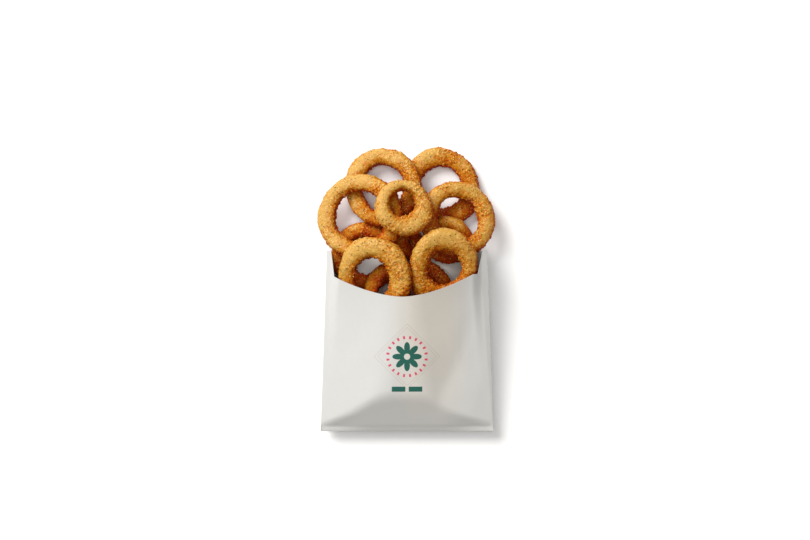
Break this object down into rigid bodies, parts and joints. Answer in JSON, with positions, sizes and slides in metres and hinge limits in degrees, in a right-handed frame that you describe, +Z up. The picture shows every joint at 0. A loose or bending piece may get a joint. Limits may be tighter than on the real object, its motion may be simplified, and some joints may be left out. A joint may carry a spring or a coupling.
{
  "type": "onion rings side",
  "caption": "Battered, fried onion rings spilling from the open mouth of a white paper snack bag that lies flat with a plain coloured print on its front.",
  "frame": {"origin": "centre of the bottom of the whole part's bounding box, on the surface it lies on", "axes": "+Z up from the surface, +Y along the bag from its bottom seam towards its mouth and the rings, +X to the right seen from above with the mouth at the top"},
  "size_m": [0.1538, 0.246, 0.0579],
  "materials": {
    "bag_paper": "smooth matte greaseproof paper with a small teal and rose print",
    "fried_batter": "golden brown crumb and batter crust with darker specks"
  },
  "bodies": {
    "root": {"bag": "bag_paper", "ring_top_right": "fried_batter", "ring_left_under": "fried_batter", "ring_deep_right": "fried_batter", "ring_small_under": "fried_batter", "ring_core_under": "fried_batter", "ring_deep_left": "fried_batter", "ring_top_left": "fried_batter", "ring_right": "fried_batter", "ring_left": "fried_batter", "ring_front_right": "fried_batter", "ring_front_left": "fried_batter", "ring_crown": "fried_batter"}
  },
  "joints": []
}
